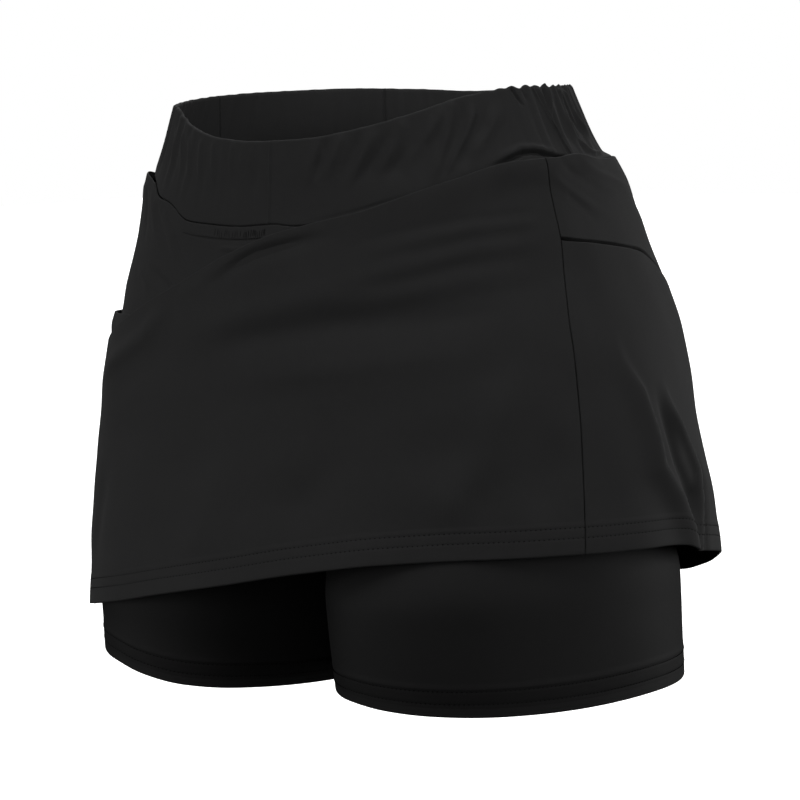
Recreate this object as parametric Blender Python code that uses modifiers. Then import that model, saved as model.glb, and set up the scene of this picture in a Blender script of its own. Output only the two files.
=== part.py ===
"""Tennis skort: a gathered elastic waistband, a short wrap-front skirt and close inner shorts.

The garment is filled out as it is when worn, and hollow. Z is up, the front faces -Y and the wearer's
left side is at +X. The origin is the centre of the waist, level with the top edge at the sides.

Places on the garment are given by an angle round the waist and a height. The angle is 0 at the
wearer's left side, -90 at the centre front, 90 at the centre back and 180 at the right side.
Sizes are in metres, angles in degrees. A drop is a distance down from the waist's top edge.
"""

import math
from collections import namedtuple

import bmesh
import bpy
from mathutils import Vector

NAME = "tennis_skort"

# Walls and seams
CLOTH = 0.0012
BAND_WALL = 0.0028
SEAM_GAP = 0.0004

# Outer form of the waistband and skirt: half width and depths at each drop
Section = namedtuple("Section", "drop half_width front back")
FORM = (
    Section(0.000, 0.138, 0.113, 0.110),
    Section(0.012, 0.143, 0.115, 0.113),
    Section(0.028, 0.150, 0.117, 0.119),
    Section(0.048, 0.161, 0.120, 0.132),
    Section(0.065, 0.167, 0.1225, 0.146),
    Section(0.084, 0.173, 0.126, 0.157),
    Section(0.105, 0.180, 0.130, 0.164),
    Section(0.130, 0.190, 0.135, 0.170),
    Section(0.155, 0.199, 0.139, 0.174),
    Section(0.195, 0.207, 0.146, 0.178),
    Section(0.262, 0.215, 0.157, 0.187),
    Section(0.345, 0.219, 0.167, 0.196),
)

# Heights of the waist's top edge, the band's lower seam and the skirt's hem, round the body
Level = namedtuple("Level", "angle top seam hem")
LEVELS = (
    Level(-180, 0.001, -0.047, -0.3450),
    Level(-165, -0.001, -0.048, -0.3412),
    Level(-150, -0.003, -0.050, -0.3342),
    Level(-135, -0.0055, -0.058, -0.3259),
    Level(-120, -0.0167, -0.070, -0.3170),
    Level(-105, -0.0247, -0.0762, -0.3058),
    Level(-90, -0.0274, -0.079, -0.2953),
    Level(-75, -0.0264, -0.0780, -0.2849),
    Level(-60, -0.0213, -0.074, -0.2779),
    Level(-45, -0.0131, -0.065, -0.2755),
    Level(-30, -0.0040, -0.054, -0.2752),
    Level(-15, 0.0002, -0.0497, -0.2760),
    Level(0, 0.001, -0.047, -0.2778),
    Level(20, 0.000, -0.046, -0.2905),
    Level(32, 0.0005, -0.046, -0.2982),
    Level(45, 0.0005, -0.046, -0.3125),
    Level(60, -0.0008, -0.046, -0.3245),
    Level(90, -0.0016, -0.046, -0.3300),
    Level(110, 0.0010, -0.046, -0.3325),
    Level(135, 0.0031, -0.046, -0.3360),
    Level(160, 0.0025, -0.0465, -0.3410),
)
# The same rows one turn before and after, so that they join up round the back
ROUND_LEVELS = tuple(
    row._replace(angle=row.angle + turn) for turn in (-360, 0, 360) for row in LEVELS
)

# Folded top edge of the wrapped front panel, from the right side up to the left side of the waist
Edge = namedtuple("Edge", "angle height")
WRAP_EDGE = (
    Edge(-162, -0.168),
    Edge(-141, -0.151),
    Edge(-126, -0.135),
    Edge(-114, -0.119),
    Edge(-92, -0.092),
    Edge(-84, -0.084),
    Edge(-73, -0.077),
    Edge(-62, -0.071),
    Edge(-54, -0.0648),
    Edge(-46, -0.0585),
    Edge(-38, -0.0533),
    Edge(-31, -0.0485),
    Edge(-24, -0.0460),
    Edge(-12, -0.0446),
)

# Pocket mouths: the upper edge of each side pocket panel, which lies over the yoke
LEFT_MOUTH = (
    Edge(-15, -0.0922),
    Edge(2, -0.0978),
    Edge(10, -0.1010),
    Edge(15, -0.1036),
    Edge(20, -0.1092),
    Edge(27, -0.1200),
    Edge(40, -0.1390),
    Edge(58, -0.1610),
)
RIGHT_MOUTH = (
    Edge(122, -0.168),
    Edge(148, -0.148),
    Edge(180, -0.140),
    Edge(215, -0.139),
    Edge(228, -0.137),
    Edge(242, -0.136),
)

# Long seams between the panels, as an angle at each drop
Seam = namedtuple("Seam", "drop angle")
LEFT_FRONT_SEAM = (
    Seam(0.04, -14.5),
    Seam(0.09, -15.0),
    Seam(0.15, -19.5),
    Seam(0.20, -20.5),
    Seam(0.29, -22.0),
)
LEFT_BACK_SEAM = (Seam(0.04, 60.0), Seam(0.35, 37.0))
# The right yoke ends at the side seam, and the wrapped panel hides the pocket panel's front edge
RIGHT_YOKE_FRONT = 195.0
RIGHT_POCKET_FRONT = (Seam(0.12, 238.0), Seam(0.32, 220.0))
WRAP_RIGHT_END = -161.0
UNDERLAY_RIGHT_END = -165.0
UNDERLAY_LEFT_END = -70.0

# How far one panel reaches under the edge of the next
YOKE_UNDERLAP = 0.032
UNDERLAY_UNDERLAP = 0.030
YOKE_OVER_BAND_TOP = -0.0440

# How far a panel stands out from the form where it lies on another
YOKE_OVER_BAND = 0.0021
MOUTH_OVER_YOKE = 0.0016
WRAP_OVER_UNDERLAY = 0.0017
WRAP_OVER_POCKET = 0.0016
WRAP_OVER_MOUTH = 0.0034
WRAP_STANDS_OFF_BAND = 0.0022
LAP_MARGIN = 0.006
LAP_FADE = 0.035

# Gathers of the elastic waistband: narrow at the right front, broad and leaning at the left front
GATHERS = 52
GATHER_HEIGHT = 0.0011
GATHER_CROWDING = 12.9
CROWDED_ANGLE = -130
Lean = namedtuple("Lean", "angle lean")
GATHER_LEAN = (
    Lean(-90, 0.0),
    Lean(-60, 7.0),
    Lean(-38, 12.0),
    Lean(-12, 4.0),
    Lean(0, 0.0),
)
# The pieces of the waistband, each between two seams, and how far each seam leans at the top edge
Band = namedtuple("Band", "name start start_lean end end_lean columns")
BANDS = (
    Band("waistband_front_left", -85, 0, 0, -6, 50),
    Band("waistband_front_right", -190, 10, -85, 0, 60),
    Band("waistband_back_left", 0, -6, 60, 0, 37),
    Band("waistband_back_centre", 60, 0, 120, 0, 34),
    Band("waistband_back_right", 120, 0, 170, 10, 32),
)
BAND_ROWS = 5

# Largest folds of the skirt: each runs down from one place to another and grows on its way
Fold = namedtuple("Fold", "start_angle end_angle start_drop end_drop width height")
SKIRT_FOLDS = (
    Fold(-2, 13, 0.170, 0.290, 5.5, 0.0050),
    Fold(10, 22, 0.190, 0.300, 5.0, -0.0040),
    Fold(17, 31, 0.150, 0.300, 6.0, 0.0040),
    Fold(70, 74, 0.170, 0.310, 9.0, 0.0040),
    Fold(106, 103, 0.180, 0.310, 10.0, 0.0035),
    Fold(158, 155, 0.170, 0.320, 8.0, 0.0040),
    Fold(184, 176, 0.190, 0.330, 6.0, 0.0045),
    Fold(-62, -66, 0.160, 0.280, 9.0, 0.0018),
    Fold(-118, -122, 0.200, 0.310, 9.0, 0.0022),
)
# Drag lines of the wrapped panel, which run nearly level from its left seam
Drag = namedtuple("Drag", "start_angle end_angle start_height end_height width height")
WRAP_DRAGS = (
    Drag(-20, -96, -0.076, -0.110, 0.010, 0.0016),
    Drag(-20, -112, -0.108, -0.150, 0.013, 0.0018),
    Drag(-22, -100, -0.150, -0.182, 0.016, 0.0014),
)

# Inner shorts: how far they lie inside the skirt's form at each drop
SHORTS_INSET = (
    Section(0.046, 0.0017, 0.0017, 0.0017),
    Section(0.065, 0.006, 0.005, 0.012),
    Section(0.105, 0.010, 0.007, 0.020),
    Section(0.155, 0.014, 0.010, 0.026),
    Section(0.240, 0.018, 0.016, 0.036),
)
CROTCH_HEIGHT = -0.236
HIP_HEIGHT = -0.200
# Rings of the left leg, at shares of the way down from the crotch to the hem
LegRing = namedtuple("LegRing", "share centre_x centre_y half_width left_depth right_depth")
LEG_RINGS = (
    LegRing(0.00, 0.0910, -0.0060, 0.0910, 0.1000, 0.1000),
    LegRing(0.25, 0.0940, -0.0070, 0.0935, 0.1080, 0.1060),
    LegRing(0.38, 0.0965, -0.0075, 0.0960, 0.1160, 0.1125),
    LegRing(0.50, 0.0985, -0.0078, 0.0975, 0.1250, 0.1180),
    LegRing(0.60, 0.1000, -0.0075, 0.0980, 0.1295, 0.1215),
    LegRing(0.75, 0.1000, -0.0060, 0.0980, 0.1290, 0.1255),
    LegRing(1.00, 0.1000, -0.0035, 0.0980, 0.1265, 0.1265),
)
# Heights of the two leg hems, from the inseam at turn -1 round the front and the side to turn 1
LegHem = namedtuple("LegHem", "turn left right")
LEG_HEMS = (
    LegHem(-1.00, -0.3652, -0.3730),
    LegHem(-0.85, -0.3652, -0.3736),
    LegHem(-0.70, -0.3662, -0.3726),
    LegHem(-0.60, -0.3660, -0.3703),
    LegHem(-0.50, -0.3672, -0.3652),
    LegHem(-0.40, -0.3687, -0.3596),
    LegHem(-0.28, -0.3699, -0.3576),
    LegHem(-0.14, -0.3705, -0.3576),
    LegHem(0.00, -0.3708, -0.3578),
    LegHem(0.22, -0.3735, -0.3588),
    LegHem(0.55, -0.3730, -0.3640),
    LegHem(0.80, -0.3690, -0.3690),
    LegHem(1.00, -0.3652, -0.3730),
)
# Shares of the shorts' height: the body, and where it starts to close into the leg
BODY_SHARE = 0.62
CLOSING_START = 0.35
SHORTS_COLUMNS = 32
SHORTS_ROWS = 16


def clamp(value):
    return min(1.0, max(0.0, value))


def ease(value):
    value = clamp(value)
    return value * value * (3.0 - 2.0 * value)


def fade(value, full, none):
    """1 where the value has reached full, 0 where it has reached none, and soft in between."""
    return 1.0 - ease((value - full) / (none - full))


def mix(start, end, share):
    return start + (end - start) * share


def smooth(rows, column, at):
    """Value of a column at a place between the rows of a table, with no overshoot."""
    keys = [row[0] for row in rows]
    values = [getattr(row, column) for row in rows]
    if at <= keys[0]:
        return values[0]
    if at >= keys[-1]:
        return values[-1]
    rises = [(values[i + 1] - values[i]) / (keys[i + 1] - keys[i]) for i in range(len(keys) - 1)]
    slopes = [rises[0]]
    for before, after in zip(rises, rises[1:]):
        slopes.append(0.0 if before * after <= 0.0 else 2.0 * before * after / (before + after))
    slopes.append(rises[-1])
    i = max(k for k in range(len(keys) - 1) if keys[k] <= at)
    step = keys[i + 1] - keys[i]
    t = (at - keys[i]) / step
    bend = t * (1.0 - t) * step * ((1.0 - t) * slopes[i] - t * slopes[i + 1])
    return mix(values[i], values[i + 1], ease(t)) + bend


def turned(angle):
    """The same angle between -180 and 180."""
    return (angle + 180.0) % 360.0 - 180.0


def level(column, angle):
    return smooth(ROUND_LEVELS, column, turned(angle))


def fold_height(angle, drop):
    """How far the skirt's large folds lift its surface."""
    total = 0.0
    for fold in SKIRT_FOLDS:
        share = (drop - fold.start_drop) / (fold.end_drop - fold.start_drop)
        away = turned(angle - mix(fold.start_angle, fold.end_angle, share)) / fold.width
        total += fold.height * ease(share) * math.exp(-away * away)
    return total


def form_point(angle, height):
    """Point of the outer form of the waistband and skirt."""
    drop = level("top", angle) - height
    across = math.cos(math.radians(angle))
    along = math.sin(math.radians(angle))
    depth = mix(smooth(FORM, "front", drop), smooth(FORM, "back", drop), ease(0.5 + along))
    grow = fold_height(angle, drop)
    return Vector(((smooth(FORM, "half_width", drop) + grow) * across, (depth + grow) * along, height))


def form_normal(angle, height):
    beside = form_point(angle + 0.5, height) - form_point(angle - 0.5, height)
    above = form_point(angle, height + 0.001) - form_point(angle, height - 0.001)
    return beside.cross(above).normalized()


def lifted(angle, height, lift):
    return form_point(angle, height) + form_normal(angle, height) * lift


def as_angle(distance, angle, height):
    """Degrees that a distance along the cloth takes up at a place on the form."""
    point = form_point(angle, height)
    return math.degrees(distance / math.hypot(point.x, point.y))


def under_band(angle):
    return level("seam", angle) - SEAM_GAP / 2


def hem(angle):
    return level("hem", angle)


def wrap_edge(angle):
    return smooth(WRAP_EDGE, "height", angle)


def left_mouth(angle):
    return smooth(LEFT_MOUTH, "height", angle)


def right_mouth(angle):
    return smooth(RIGHT_MOUTH, "height", angle % 360.0)


def left_front_seam(drop):
    return smooth(LEFT_FRONT_SEAM, "angle", drop)


def left_back_seam(drop):
    return smooth(LEFT_BACK_SEAM, "angle", drop)


def right_back_seam(drop):
    return 180.0 - left_back_seam(drop)


def right_pocket_front(drop):
    return smooth(RIGHT_POCKET_FRONT, "angle", drop)


def fixed(value):
    return lambda _: value


def no_lift(angle, height):
    return 0.0


def left_yoke_top(angle):
    """The left yoke laps a little over the band in front and meets its seam behind."""
    return mix(under_band(angle), YOKE_OVER_BAND_TOP, fade(angle, -5.0, 30.0))


def left_yoke_bottom(angle):
    return left_mouth(angle) - YOKE_UNDERLAP


def right_yoke_bottom(angle):
    return right_mouth(angle) - YOKE_UNDERLAP


def underlay_bottom(angle):
    """The underlay ends a little under the wrapped panel's edge and under the right pocket mouth."""
    behind_wrap = min(wrap_edge(angle), under_band(angle)) - UNDERLAY_UNDERLAP
    return max(behind_wrap, right_yoke_bottom(angle))


def left_yoke_lift(angle, height):
    return YOKE_OVER_BAND * fade(height, -0.056, -0.078) * fade(angle, 35.0, 55.0)


def mouth_lift(mouth):
    """A pocket panel lies over the yoke at its mouth and comes flush with the skirt below it."""
    covered = YOKE_UNDERLAP + LAP_MARGIN

    def lift(angle, height):
        return MOUTH_OVER_YOKE * fade(mouth(angle) - height, covered, covered + LAP_FADE)

    return lift


def wrap_lift(angle, height):
    """The wrapped panel lies over the underlay, the right pocket panel and the band's lower edge."""
    below = wrap_edge(angle) - height
    covered = UNDERLAY_UNDERLAP + LAP_MARGIN
    over_underlay = WRAP_OVER_UNDERLAY * fade(below, covered, covered + LAP_FADE)
    under_mouth = right_mouth(angle) - height
    over_right = mix(WRAP_OVER_POCKET, WRAP_OVER_MOUTH, fade(under_mouth, 0.040, 0.080))
    lift = max(over_underlay, over_right * fade(angle, -120.0, -112.0))
    lift += WRAP_STANDS_OFF_BAND * fade(angle, -38.0, -62.0) * fade(below, 0.0, 0.022)
    for drag in WRAP_DRAGS:
        share = (angle - drag.start_angle) / (drag.end_angle - drag.start_angle)
        away = (height - mix(drag.start_height, drag.end_height, clamp(share))) / drag.width
        lift += drag.height * fade(share, 0.2, 0.0) * fade(share, 0.65, 1.0) * math.exp(-away * away)
    return lift


def gather(angle, share):
    """Ripple of the elastic, strongest at the top edge and nearly gone at the lower seam."""
    upright = angle + smooth(GATHER_LEAN, "lean", angle) * share
    crowded = GATHER_CROWDING * math.sin(math.radians(2.0 * (upright - CROWDED_ANGLE)))
    uneven = 1.6 * math.sin(math.radians(3.0 * upright)) + 0.9 * math.sin(math.radians(7.0 * upright))
    ripple = math.sin(math.radians((upright + crowded + uneven) * GATHERS))
    from_seam = min(abs(turned(angle - seam_angle(band.start, band.start_lean, share))) for band in BANDS)
    return GATHER_HEIGHT * ripple * mix(0.15, 1.0, fade(share, 0.0, 1.0)) * fade(from_seam, 4.8, 0.8)


def seam_angle(angle, lean, share):
    """Angle of a band seam at a share of the way down from the top edge."""
    return angle + lean * (1.0 - share)


def material(name, shade, roughness):
    made = bpy.data.materials.new(name)
    made.use_nodes = True
    shader = made.node_tree.nodes["Principled BSDF"]
    shader.inputs["Base Color"].default_value = (shade, shade, shade, 1.0)
    shader.inputs["Roughness"].default_value = roughness
    shader.inputs["Metallic"].default_value = 0.0
    made.diffuse_color = (shade, shade, shade, 1.0)
    return made


def make_cloth(name, columns, rows, place, wall, cloth, weld=False):
    """One piece of cloth: a grid laid on the form by place(u, v), thickened inwards.

    u goes from 0 to 1 with the angle, v from 0 at the top edge to 1 at the lower edge.
    """
    grid = bmesh.new()
    bmesh.ops.create_grid(grid, x_segments=columns, y_segments=rows, size=0.5)
    for vertex in grid.verts:
        vertex.co = place(vertex.co.x + 0.5, 0.5 - vertex.co.y)
    if weld:
        bmesh.ops.remove_doubles(grid, verts=grid.verts, dist=0.00001)
    mesh = bpy.data.meshes.new(name)
    grid.to_mesh(mesh)
    grid.free()
    mesh.materials.append(cloth)
    mesh.shade_smooth()
    piece = bpy.data.objects.new(name, mesh)
    garment.objects.link(piece)
    wall_modifier = piece.modifiers.new("cloth_wall", "SOLIDIFY")
    wall_modifier.thickness = wall
    wall_modifier.offset = -1.0
    wall_modifier.use_even_offset = False


def make_waistband(cloth):
    for band in BANDS:

        def place(u, v, band=band):
            angle = mix(band.start, band.end, u)
            top = level("top", angle)
            bottom = level("seam", angle) + SEAM_GAP / 2
            # rows lie closer together towards the seam
            share = 1.0 - (1.0 - v) ** 1.5
            height = mix(top, bottom, share)
            inset = as_angle(SEAM_GAP / 2, angle, height)
            start = seam_angle(band.start, band.start_lean, share) + inset
            end = seam_angle(band.end, band.end_lean, share) - inset
            angle = mix(start, end, u)
            return lifted(angle, height, gather(angle, share))

        make_cloth(band.name, band.columns, BAND_ROWS, place, BAND_WALL, cloth)


def make_panel(name, columns, rows, cloth, left, right, top, bottom, lift):
    """A skirt panel between two long seams, given by drop, and two edges, given by angle."""

    def place(u, v):
        angle = mix(left(0.15), right(0.15), u)
        for _ in range(3):
            height = mix(top(angle), bottom(angle), v ** 1.25)
            drop = level("top", angle) - height
            inset = as_angle(SEAM_GAP / 2, angle, height)
            angle = mix(left(drop) + inset, right(drop) - inset, u)
        return lifted(angle, height, lift(angle, height))

    make_cloth(name, columns, rows, place, CLOTH, cloth)


def make_skirt(cloth):
    make_panel(
        "skirt_front_wrap", 34, 14, cloth,
        fixed(WRAP_RIGHT_END), left_front_seam, wrap_edge, hem, wrap_lift,
    )
    make_panel(
        "skirt_front_underlay", 20, 5, cloth,
        fixed(UNDERLAY_RIGHT_END), fixed(UNDERLAY_LEFT_END), under_band, underlay_bottom, no_lift,
    )
    make_panel(
        "side_yoke_left", 16, 6, cloth,
        left_front_seam, left_back_seam, left_yoke_top, left_yoke_bottom, left_yoke_lift,
    )
    make_panel(
        "side_yoke_right", 12, 7, cloth,
        right_back_seam, fixed(RIGHT_YOKE_FRONT), under_band, right_yoke_bottom, no_lift,
    )
    make_panel(
        "side_pocket_left", 20, 11, cloth,
        left_front_seam, left_back_seam, left_mouth, hem, mouth_lift(left_mouth),
    )
    make_panel(
        "side_pocket_right", 22, 11, cloth,
        right_back_seam, right_pocket_front, right_mouth, hem, mouth_lift(right_mouth),
    )
    make_panel(
        "skirt_back", 22, 14, cloth,
        left_back_seam, right_back_seam, under_band, hem, no_lift,
    )


def shorts_inset(angle, drop):
    """How far the shorts lie inside the form: by front, side and back."""
    front = smooth(SHORTS_INSET, "front", drop)
    back = smooth(SHORTS_INSET, "back", drop)
    side = smooth(SHORTS_INSET, "half_width", drop)
    across = abs(math.cos(math.radians(angle)))
    return mix(mix(front, back, ease(0.5 + math.sin(math.radians(angle)))), side, across)


def shorts_hem(side, turn):
    return smooth(LEG_HEMS, "left" if side > 0 else "right", turn)


def shorts_point(side, turn, v):
    """Point of one half of the shorts, from the band's seam at v = 0 to the leg's hem at v = 1.

    Each row is half a ring round the body, from the centre front at turn -1 past the side to the
    centre back at turn 1, and it closes into a ring round the leg on the way down.
    """
    angle = 90.0 * turn if side > 0 else 180.0 - 90.0 * turn
    body_share = clamp(v / BODY_SHARE)
    leg_share = clamp((v - BODY_SHARE) / (1.0 - BODY_SHARE))
    start = under_band(angle) - SEAM_GAP
    height = mix(start, mix(HIP_HEIGHT, CROTCH_HEIGHT, turn * turn), body_share ** 1.3)
    inset = shorts_inset(angle, level("top", angle) - height)
    body = form_point(angle, height) - form_normal(angle, height) * inset
    body.x *= side
    across = smooth(LEG_RINGS, "half_width", leg_share) * math.cos(math.pi * turn)
    depth = smooth(LEG_RINGS, "left_depth" if side > 0 else "right_depth", leg_share)
    leg = Vector(
        (
            smooth(LEG_RINGS, "centre_x", leg_share) + across,
            smooth(LEG_RINGS, "centre_y", leg_share) + depth * math.sin(math.pi * turn),
            mix(height, shorts_hem(side, turn), leg_share),
        )
    )
    point = body.lerp(leg, ease((body_share - CLOSING_START) / (1.0 - CLOSING_START)))
    point.x = side * (max(point.x, 0.0) + SEAM_GAP / 2)
    return point


def make_shorts(name, side, cloth):
    def place(u, v):
        return shorts_point(side, side * (2.0 * u - 1.0), v)

    make_cloth(name, SHORTS_COLUMNS, SHORTS_ROWS, place, CLOTH, cloth, weld=True)


for old in list(bpy.data.objects):
    bpy.data.objects.remove(old, do_unlink=True)
garment = bpy.data.collections.new(NAME)
bpy.context.scene.collection.children.link(garment)

make_waistband(material("band_knit", 0.024, 0.66))
make_skirt(material("outer_knit", 0.028, 0.62))
shorts_knit = material("shorts_knit", 0.014, 0.60)
make_shorts("shorts_left", 1, shorts_knit)
make_shorts("shorts_right", -1, shorts_knit)
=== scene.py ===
"""Looks of the tennis skort: knit panels with their folds, hems, gathers and stitching."""

import math
from collections import namedtuple

import bmesh
import bpy
import numpy as np
from mathutils import Matrix, Vector


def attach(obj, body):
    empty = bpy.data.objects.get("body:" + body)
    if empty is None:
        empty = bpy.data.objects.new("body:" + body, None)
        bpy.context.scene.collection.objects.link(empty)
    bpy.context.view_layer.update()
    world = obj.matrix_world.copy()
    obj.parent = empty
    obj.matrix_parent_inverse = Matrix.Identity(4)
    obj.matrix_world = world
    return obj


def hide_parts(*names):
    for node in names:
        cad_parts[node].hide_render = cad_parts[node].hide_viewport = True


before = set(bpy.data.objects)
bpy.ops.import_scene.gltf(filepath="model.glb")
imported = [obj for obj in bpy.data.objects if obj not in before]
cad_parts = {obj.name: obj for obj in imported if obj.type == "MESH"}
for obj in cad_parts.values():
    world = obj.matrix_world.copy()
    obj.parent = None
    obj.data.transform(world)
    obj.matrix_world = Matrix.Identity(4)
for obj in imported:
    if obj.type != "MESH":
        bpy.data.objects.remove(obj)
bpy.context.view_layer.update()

# ---------------------------------------------------------------- camera

# Angles are in degrees from straight in front, level and upright. The lens is in millimetres.
VIEW_TURN = 40.0
VIEW_TILT = 6.0
VIEW_ROLL = 2.0
VIEW_DISTANCE = 1.9
VIEW_TARGET = Vector((0.0, 0.0, -0.198))
FARTHEST_VIEW = 60.0
LENS = 132.5
SENSOR = 36.0
SIDE_SHIFT = 0.02


def new_object(name, data):
    made = bpy.data.objects.new(name, data)
    bpy.context.scene.collection.objects.link(made)
    return made


def make_camera():
    turn, tilt, roll = (math.radians(a) for a in (VIEW_TURN, VIEW_TILT, VIEW_ROLL))
    back = Vector((math.sin(turn) * math.cos(tilt), -math.cos(turn) * math.cos(tilt), math.sin(tilt)))
    right = Vector((math.cos(turn), math.sin(turn), 0.0))
    up = back.cross(right)
    rolled = right * math.cos(roll) - up * math.sin(roll)
    up = up * math.cos(roll) + right * math.sin(roll)
    data = bpy.data.cameras.new("camera")
    data.lens = LENS
    data.sensor_width = SENSOR
    data.shift_x = SIDE_SHIFT
    data.clip_end = FARTHEST_VIEW
    camera = new_object("camera", data)
    place = Matrix((rolled, up, back)).transposed().to_4x4()
    place.translation = VIEW_TARGET + back * VIEW_DISTANCE
    camera.matrix_world = place
    bpy.context.scene.camera = camera


make_camera()

# ---------------------------------------------------------------- the garment's form
# Places on the garment are given by an angle round the waist and a height. The angle is 0 at the
# wearer's left side, -90 at the centre front, 90 at the centre back and 180 at the right side.

SEAM_GAP = 0.0003
KNIT_WALL = 0.0007
FOLD_RADIUS = 0.0009
CASING_RADIUS = 0.0015

# A drop is a height below the waistband's top edge. Front and back are the form's depths.
Section = namedtuple("Section", "drop half_width front back")
FORM = (
    Section(0.000, 0.138, 0.113, 0.110),
    Section(0.012, 0.143, 0.115, 0.113),
    Section(0.028, 0.150, 0.117, 0.119),
    Section(0.048, 0.161, 0.120, 0.132),
    Section(0.065, 0.167, 0.1225, 0.146),
    Section(0.084, 0.173, 0.126, 0.157),
    Section(0.105, 0.180, 0.130, 0.164),
    Section(0.130, 0.190, 0.135, 0.170),
    Section(0.155, 0.199, 0.139, 0.174),
    Section(0.195, 0.207, 0.146, 0.178),
    Section(0.262, 0.215, 0.157, 0.187),
    Section(0.345, 0.219, 0.167, 0.196),
)
# Heights of the waistband's top edge, of its lower seam and of the skirt's hem
Level = namedtuple("Level", "angle top seam hem")
LEVELS = (
    Level(-180, 0.001, -0.047, -0.3450),
    Level(-165, -0.001, -0.048, -0.3412),
    Level(-150, -0.003, -0.050, -0.3342),
    Level(-135, -0.0055, -0.058, -0.3259),
    Level(-120, -0.0167, -0.070, -0.3170),
    Level(-105, -0.0247, -0.0762, -0.3058),
    Level(-90, -0.0274, -0.079, -0.2953),
    Level(-75, -0.0264, -0.0780, -0.2849),
    Level(-60, -0.0213, -0.074, -0.2779),
    Level(-45, -0.0131, -0.065, -0.2755),
    Level(-30, -0.0040, -0.054, -0.2752),
    Level(-15, 0.0002, -0.0497, -0.2760),
    Level(0, 0.001, -0.047, -0.2778),
    Level(7, 0.0008, -0.0467, -0.2802),
    Level(12, 0.0005, -0.0463, -0.2862),
    Level(20, 0.000, -0.046, -0.2905),
    Level(32, 0.0005, -0.046, -0.2982),
    Level(45, 0.0005, -0.046, -0.3125),
    Level(60, -0.0008, -0.046, -0.3245),
    Level(90, -0.0016, -0.046, -0.3300),
    Level(110, 0.0010, -0.046, -0.3325),
    Level(135, 0.0031, -0.046, -0.3360),
    Level(160, 0.0025, -0.0465, -0.3410),
)
ROUND_LEVELS = tuple(
    row._replace(angle=row.angle + turn) for turn in (-360, 0, 360) for row in LEVELS
)
Edge = namedtuple("Edge", "angle height")
WRAP_EDGE = (
    Edge(-162, -0.168),
    Edge(-141, -0.151),
    Edge(-126, -0.135),
    Edge(-114, -0.119),
    Edge(-92, -0.092),
    Edge(-84, -0.084),
    Edge(-73, -0.077),
    Edge(-62, -0.071),
    Edge(-54, -0.0648),
    Edge(-46, -0.0585),
    Edge(-38, -0.0533),
    Edge(-31, -0.0485),
    Edge(-24, -0.0460),
    Edge(-12, -0.0446),
)
LEFT_MOUTH = (
    Edge(-15, -0.0922),
    Edge(2, -0.0978),
    Edge(10, -0.1016),
    Edge(15, -0.1045),
    Edge(20, -0.1096),
    Edge(27, -0.1200),
    Edge(40, -0.1390),
    Edge(58, -0.1610),
)
RIGHT_MOUTH = (
    Edge(122, -0.168),
    Edge(148, -0.148),
    Edge(180, -0.140),
    Edge(215, -0.139),
    Edge(228, -0.137),
    Edge(242, -0.136),
)
# How the band's lower seam steps up and down at the right hip
SEAM_STEPS = (
    Edge(-158, 0.0),
    Edge(-147, 0.0030),
    Edge(-135, 0.0050),
    Edge(-129, 0.0012),
    Edge(-122, 0.0034),
    Edge(-112, -0.0023),
    Edge(-104, -0.0014),
    Edge(-95, -0.0006),
    Edge(-84, 0.0010),
    Edge(-78, -0.0007),
    Edge(-70, 0.0),
)
LEFT_YOKE_TOP = (
    Edge(-16, -0.0449),
    Edge(-11, -0.0449),
    Edge(-6, -0.0437),
    Edge(-3, -0.0432),
    Edge(1, -0.0443),
    Edge(4, -0.0454),
    Edge(10, -0.0458),
    Edge(18, -0.0462),
    Edge(62, -0.0462),
)
Seam = namedtuple("Seam", "drop angle")
LEFT_FRONT_SEAM = (
    Seam(0.04, -14.5),
    Seam(0.09, -15.0),
    Seam(0.15, -19.5),
    Seam(0.20, -20.5),
    Seam(0.29, -22.0),
)
LEFT_BACK_SEAM = (Seam(0.04, 60.0), Seam(0.35, 37.0))
RIGHT_POCKET_FRONT = (Seam(0.12, 238.0), Seam(0.32, 220.0))
YOKE_UNDERLAP = 0.030
UNDERLAY_UNDERLAP = 0.028

Fold = namedtuple("Fold", "start_angle end_angle start_drop end_drop width height")
SKIRT_FOLDS = (
    Fold(26, 32, 0.205, 0.290, 8.0, 0.0050),
    Fold(70, 74, 0.170, 0.310, 9.0, 0.0040),
    Fold(106, 103, 0.180, 0.310, 10.0, 0.0035),
    Fold(158, 155, 0.170, 0.320, 8.0, 0.0040),
    Fold(184, 176, 0.190, 0.330, 6.0, 0.0045),
    Fold(-62, -66, 0.160, 0.280, 9.0, 0.0018),
    Fold(-118, -122, 0.200, 0.310, 9.0, 0.0022),
)

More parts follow.
